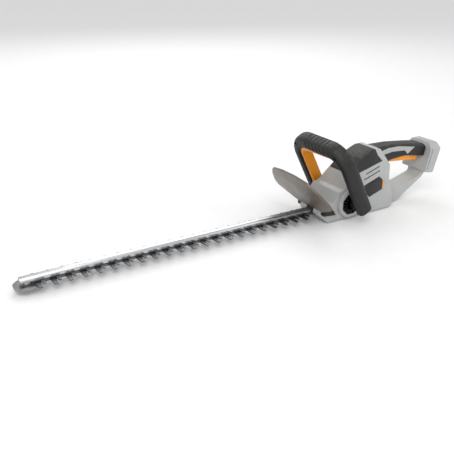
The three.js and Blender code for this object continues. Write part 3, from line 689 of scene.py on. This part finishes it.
# The rims of the hole are the sharp edges on the flanks of the arm, inside the arm's outline.
edit(arm)
choose(arm, "edges", lambda e: e.calc_face_angle(0) > 1.2 and all(
    abs(abs(v.co.y) - ARM_HALF * MM) < 0.01 * MM and 0.0885 < v.co.x < 0.203
    and 0.0255 < v.co.z < 0.1025 for v in e.verts))
bpy.ops.mesh.bevel(offset=HOLE_ROUND * MM, segments=3, profile=0.5, affect="EDGES")
leave_edit()
rounded_arm = copy_of(arm, "rounded_arm")
combine(hull, arm, "UNION")
mount = mount_solid("mount")
round_edges(mount, MOUNT_ROUND, 4, 20)
combine(hull, mount, "UNION")
for side, low, high in both_sides(36, 48):
    fairing = slab_y("fairing", disc(SEAT_X, SEAT_Z, FAIRING_R, 48), low, high)
    round_edges(fairing, FAIRING_ROUND, 4, 30)
    combine(hull, fairing, "UNION")
print("hull", len(hull.data.polygons), "faces")

# %% [markdown]
# Badges, rubber, cover and seats are set into the shells. Each outline is a function of how
# far it grows, so the room cut for a piece is the piece's own outline plus the clearance.

# %% Outlines of what the body carries
def cover_line(grow):
    return rounded([(-40, 84 - grow), (-6, 91 - grow), (63 + grow, 106 - grow), (52 + grow, 119),
                    (42 + grow, 145), (-40, 145)])


def grip_zone(grow):
    return rounded([
        (60 - grow, 150), (64 - grow, 124), (91 - grow, 94), (91 - grow, 80), (176 + grow, 80),
        (186 + grow, 91 - grow), (198 + grow, 92 - grow, 6), (201 + grow, 108, 12),
        (190 + grow, 126), (189 + grow, 150)])


def badge_outline(grow):
    return rounded([
        (13 - 2 * grow, 64 + grow), (53, 76 + 2 * grow), (62 + grow, 68 + grow),
        (62 + grow, 48 - grow), (29, 37 - 2 * grow), (20 - grow, 46 - grow)])


def accent_outline(grow):
    return rounded([
        (63.2 - grow, 67 + 2 * grow), (66.5 + grow, 63 + grow), (66.5 + grow, 51 - grow),
        (63.2 - grow, 48.5 - 2 * grow)])


def guard_seat_outline(grow):
    return rounded([
        (-88.5 - grow, 35 + grow), (-88.5 - grow, 20 - grow), (-59 + grow, 17.5 - grow),
        (-65 + grow, 27 + grow), (-80 + grow, 36 + grow)])


# %% [markdown]
# A moulded shell has an even wall, so the hollow is the same body drawn smaller. Bosses for
# the screws are added before the openings, because the openings cut through them too.

# %% Hollow the body
inner_body = body_solid("inner_body", WALL)
combine(hull, inner_body)
RUBBER = 2.5
inner_arm = arm_solid("inner_arm", RUBBER + WALL)
combine(inner_arm, arm_hole("hole", RUBBER + WALL))
combine(inner_arm, slab_y("reach", rounded(rectangle(55, 200, -10, 140)), -FLANK, FLANK), "INTERSECT")
combine(hull, inner_arm)
print("hollow hull", len(hull.data.polygons), "faces")

# %% Add bosses for the screws
BODY_SCREWS = [(-54, 50), (76, 13), (74, 104), (118, 14)]
BOSS_R = 4.6
SCREW_SEAT_R = 3.8
SCREW_SEAT_Y = 9.5
outside = body_solid("outside", 0.5)
combine(outside, arm_solid("outside_arm", 0.5), "UNION")
for x, z in BODY_SCREWS:
    boss = slab_y("boss", disc(x, z, BOSS_R, 24), -38, 38)
    combine(boss, outside, "INTERSECT", keep_tool=True)
    combine(hull, boss, "UNION")
bpy.data.objects.remove(outside)
print("hull with", len(BODY_SCREWS), "bosses")

# %% Cut room for the cover and the rubber
cover_room = slab_y("cover_room", cover_line(GAP), -FLANK, FLANK)
combine(cover_room, slab("limit", rounded(rectangle(-60, 60, 50, 150)), -60, 75, ALONG_X),
        "INTERSECT")
combine(hull, cover_room)
rubber_room = slab_y("rubber_room", grip_zone(GAP), -FLANK, FLANK)
combine(rubber_room, arm_solid("core", RUBBER + GAP))
combine(rubber_room, body_solid("keep_body"))
combine(rubber_room, mount_solid("keep_mount"))
combine(hull, rubber_room)
print("hull with rooms", len(hull.data.polygons), "faces")

# %% [markdown]
# The remaining openings are the vents, the slot of the trigger, the battery bay, the mouth and
# the room for the blades, and the recesses in which the seats, badges and screws lie.

# %% Open the shell
VENTS = ((18, 84.5, 55), (13, 74, 56))  # front end, its height, rear end
VENT_SLOPE = 0.29
VENT_HEIGHT = 3.0
openings = [
    slab_y("trigger_slot", rounded(rectangle(100, 188, 80, 108)), -12, 12),
    slab_y("battery_bay", rounded([(205, 66, 2), (240, 57), (252, 104), (214, 104, 2)]), -22, 22),
    slab("cover_pocket", rounded(rectangle(-44 - GAP, 46 + GAP, -31 - GAP, 31 + GAP, 8)),
         -1, 4 + GAP, ALONG_Z),
    slab("blade_mouth", rounded(rectangle(-11, 11, 9, 27.8)), -100, -30, ALONG_X),
    slab("blade_room", rounded(rectangle(-50, 34, -30, 30)), 10, 18.7, ALONG_Z)]
for side, low, high in both_sides(25, 60):
    for x0, z0, x1 in VENTS:
        z1 = z0 + (x1 - x0) * VENT_SLOPE
        openings.append(slab_y("vent", rounded([
            (x0, z0, 1), (x1, z1, 1), (x1, z1 + VENT_HEIGHT, 1), (x0, z0 + VENT_HEIGHT, 1)], 3),
            low, high))
for side, low, high in both_sides(39.2, 60):
    openings.append(slab_y("seat_socket", octagon(GAP), low, high))
for side, low, high in both_sides(27 - GAP, 43 + GAP):
    openings.append(slab_y("guard_pocket", guard_seat_outline(GAP), low, high))
for side, low, high in both_sides(30, 39):
    openings.append(slab_y("groove", rounded([
        (195.2, 64), (197.2, 63.6), (207.2, 108), (205.2, 108.4)]), low, high))
for x, z in BODY_SCREWS:
    openings.append(slab_y("screw_seat", disc(x, z, SCREW_SEAT_R, 24), SCREW_SEAT_Y, FLANK))
for opening in openings:
    combine(hull, opening)
print("made", len(openings), "openings")

# %% Sink the badges
BADGE_DEPTH = 1.2
skin_core = body_solid("skin_core", BADGE_DEPTH)
for side, low, high in both_sides(20, 60):
    for outline in (badge_outline, accent_outline):
        pocket = slab_y("pocket", outline(GAP), low, high)
        combine(pocket, skin_core, keep_tool=True)
        combine(hull, pocket)
bpy.data.objects.remove(skin_core)
print("opened hull", len(hull.data.polygons), "faces")

# %% [markdown]
# The real shells meet in the middle plane. The finished hull is copied for each side, and an
# intersection with a big block keeps one half, which leaves a true parting line.

# %% Split it into two halves
def half_of(piece, name, low, high):
    half = copy_of(piece, name)
    block = slab_y("block", rounded(rectangle(-FAR, FAR, -FAR, FAR)), low, high)
    return combine(half, block, "INTERSECT")


def deliver(piece, material, stands_for, body="machine"):
    """Gives a finished piece its material and its body, and hides the CAD nodes it stands for."""
    paint(piece, material)
    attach(piece, body)
    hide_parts(*stands_for)
    return piece


for side, low, high in both_sides(GAP / 2, FAR):
    shell = half_of(hull, "body_shell_" + side, low, high)
    smooth(shell, 30)
    deliver(shell, shell_grey, ["housing_" + side])
    print(shell.name, len(shell.data.polygons), "faces")
bpy.data.objects.remove(hull)

# %% [markdown]
# ## Grip, cover and other mouldings that sit on the shells
# The grip rubber is overmoulded on the arm, so it has the arm's rounded section. Its CAD
# solid has the right parting and recesses but square edges, so a copy is cut down to the
# rounded arm. The smaller mouldings are copies with their edges rounded by a bevel.

# %% Rounded copies of CAD nodes
def fine_copy(node_name):
    """A merged copy of a CAD node, free of its body."""
    piece = copy_of(nodes[node_name], node_name + "_fine")
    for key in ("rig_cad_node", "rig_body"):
        if key in piece:
            del piece[key]
    piece.parent = None
    edit(piece, "VERT")
    bpy.ops.mesh.select_all(action="SELECT")
    bpy.ops.mesh.remove_doubles(threshold=0.005 * MM)
    bpy.ops.mesh.dissolve_limited(angle_limit=math.radians(1))
    bpy.ops.mesh.normals_make_consistent(inside=False)
    leave_edit()
    return piece


def softened(node_name, material, width, body="machine", segments=3, angle=20):
    piece = fine_copy(node_name)
    round_edges(piece, width, segments, angle)
    smooth(piece)
    deliver(piece, material, [node_name], body)
    return piece


for side in ("left", "right"):
    for node_name, material in (("grip_rubber_", charcoal_rubber), ("grip_inlay_", shell_grey)):
        skin = fine_copy(node_name + side)
        combine(skin, rounded_arm, "INTERSECT", keep_tool=True)
        smooth(skin)
        deliver(skin, material, [node_name + side])
    softened("handle_seat_" + side, black_plastic, 0.5)
    softened("guard_seat_" + side, black_plastic, 0.6)
    softened("badge_" + side, badge_black, 0.25)
    softened("badge_accent_" + side, orange_plastic, 0.25)
bpy.data.objects.remove(rounded_arm)
softened("motor_cover", charcoal_rubber, 1.2)
softened("hand_guard", guard_plastic, 0.9)
softened("guide_rail", rail_aluminium, 0.5)
softened("tip_plate", plate_steel, 0.5)
softened("bottom_cover", black_plastic, 0.8)
softened("trigger", orange_plastic, 0.8, "rear_trigger")
softened("switch_bar", orange_plastic, 1.2, "front_switch_bar")
print("rounded copies made")

# %% [markdown]
# ## The front handle
# Two rubber-covered shells form a hoop. The outside is a tube with an oval section that
# follows the hoop, with ribs for the fingers along the top. A flat grid is wrapped round the
# path, because no primitive has this shape. The inside is hollow, with bosses for the screws
# and a channel in which the switch bar moves.

# %% Path of the hoop
LEG_Y = 72.0
TOP_S = 131.0
FOOT_S = -13.5
CORNER = (35.5, 94.5)
CORNER_R = 36.5
LEG_HALF, TOP_HALF, HALF_DEPTH = 10.95, 13.95, 15.45
FOOT_ROUND = 5.0  # rounding of the lower end of each leg
HOLLOW = 3.5  # wall of the handle shells
TOP_END = 34.5
TOP_STEP = 0.75
GROOVES = (24, 13, 2, -9, -20, -31)
GROOVE_DEPTH = 1.3
GROOVE_WIDTH = 1.3
AROUND = 40
SQUARENESS = 0.7  # 1 is an ellipse, 0 a rectangle
HOOP_TILT = math.radians(27)
HOOP = basis((0, 1, 0), (-math.sin(HOOP_TILT), 0, math.cos(HOOP_TILT)),
             (math.cos(HOOP_TILT), 0, math.sin(HOOP_TILT)), (-16.6, 0, 36))


def hoop_path():
    """Stations (y, s, outward angle, share of the way to the top), from foot to foot."""
    leg = [(LEG_Y, FOOT_S + step, 0.0, 0.0) for step in (0, 0.4, 1.2, 2.4, 4, 5, 9)]
    leg += [(LEG_Y, s, 0.0, 0.0) for s in range(4, 94, 9)]
    corner = []
    for step in range(17):
        angle = math.pi / 2 * step / 16
        corner.append((CORNER[0] + CORNER_R * math.cos(angle),
                       CORNER[1] + CORNER_R * math.sin(angle), angle,
                       (1 - math.cos(math.pi * step / 16)) / 2))
    right = leg + corner
    steps = round(2 * TOP_END / TOP_STEP)
    top = [(TOP_END - step * TOP_STEP, TOP_S, math.pi / 2, 1.0) for step in range(steps + 1)]
    left = [(-y, s, math.pi - angle, share) for y, s, angle, share in reversed(right)]
    return right + top + left


print("hoop path has", len(hoop_path()), "stations")

# %% Wrap a tube round the path
def hoop_tube(name, inset, grooved):
    """The tube; the outer one has finger grooves and rounded feet, the inner one is plain."""
    path = hoop_path()
    bpy.ops.mesh.primitive_grid_add(x_subdivisions=AROUND, y_subdivisions=len(path) - 1, size=1)
    tube = bpy.context.object
    tube.name = name
    tube.data.name = name
    for vertex in tube.data.vertices:
        y, s, outward, share = path[round((vertex.co.y + 0.5) * (len(path) - 1))]
        turn = math.tau * (vertex.co.x + 0.5)
        foot = FOOT_ROUND - min(s - FOOT_S, FOOT_ROUND)
        end = FOOT_ROUND - math.sqrt(FOOT_ROUND ** 2 - foot ** 2) if grooved else 0.0
        wide = LEG_HALF + (TOP_HALF - LEG_HALF) * share - inset - end
        deep = HALF_DEPTH - inset - end
        cosine, sine = math.cos(turn), math.sin(turn)
        across = wide * math.copysign(abs(cosine) ** SQUARENESS, cosine)
        depth = deep * math.copysign(abs(sine) ** SQUARENESS, sine)
        if grooved and share == 1.0:
            cut = max(math.exp(-((y - centre) / GROOVE_WIDTH) ** 2) for centre in GROOVES)
            shrink = GROOVE_DEPTH * cut * min(1.0, max(0.0, cosine + 0.55) * 3)
            across *= 1 - shrink / wide
            depth *= 1 - shrink / deep
        if not grooved:
            s = max(s, FOOT_S + inset)
        vertex.co = (y + across * math.cos(outward), s + across * math.sin(outward), depth)
    edit(tube, "VERT")
    bpy.ops.mesh.select_all(action="SELECT")
    bpy.ops.mesh.remove_doubles(threshold=0.001)
    bpy.ops.mesh.select_all(action="DESELECT")
    bpy.ops.mesh.select_non_manifold()
    bpy.ops.mesh.fill_holes(sides=0)
    bpy.ops.mesh.select_all(action="SELECT")
    bpy.ops.mesh.normals_make_consistent(inside=False)
    leave_edit()
    tube.data.transform(HOOP)
    return tube


# %% [markdown]
# Solid rubber-covered plastic would be heavy, so the hoop gets a hollow, and only bosses run
# through it. It is split along its own plane into a front and a rear shell.

# %% Hollow and split the hoop
hoop = hoop_tube("hoop", 0.0, True)
combine(hoop, hoop_tube("hoop_hollow", HOLLOW, False))
HOOP_SCREWS = [(-68, 4), (-60, 126), (60, 126), (68, 4)]
for y, s in HOOP_SCREWS:
    combine(hoop, slab("boss", disc(y, s, 4.4), -13.2, 13.2, HOOP), "UNION")
for side, low, high in both_sides(44, 67):
    spigot = slab_y("spigot", disc(SEAT_X + 6, SEAT_Z, 10, 32), low, high)
    combine(hoop, spigot, "UNION")
cuts = [slab("channel", rounded([
    (-38 - GAP, 17 - GAP), (63 + GAP, 17 - GAP), (63 + GAP, 123 + GAP, 20),
    (-38 - GAP, 123 + GAP)]), -11 - GAP, 11 + GAP, HOOP)]
for y, s in HOOP_SCREWS:
    cuts.append(slab("shank", disc(y, s, 1.75), -15, 10, HOOP))
    cuts.append(slab("head_room", disc(y, s, 3.4), -17, -8.5, HOOP))
for tool in cuts:
    combine(hoop, tool)
print("hoop", len(hoop.data.polygons), "faces")
for side, low, high in (("front", -FAR, -GAP / 2), ("rear", GAP / 2, FAR)):
    half = copy_of(hoop, "handle_shell_" + side)
    block = slab("block", rounded(rectangle(-FAR, FAR, -FAR, FAR)), low, high, HOOP)
    combine(half, block, "INTERSECT")
    smooth(half, 40)
    deliver(half, charcoal_rubber, ["front_handle_" + side])
    print(half.name, len(half.data.polygons), "faces")
bpy.data.objects.remove(hoop)
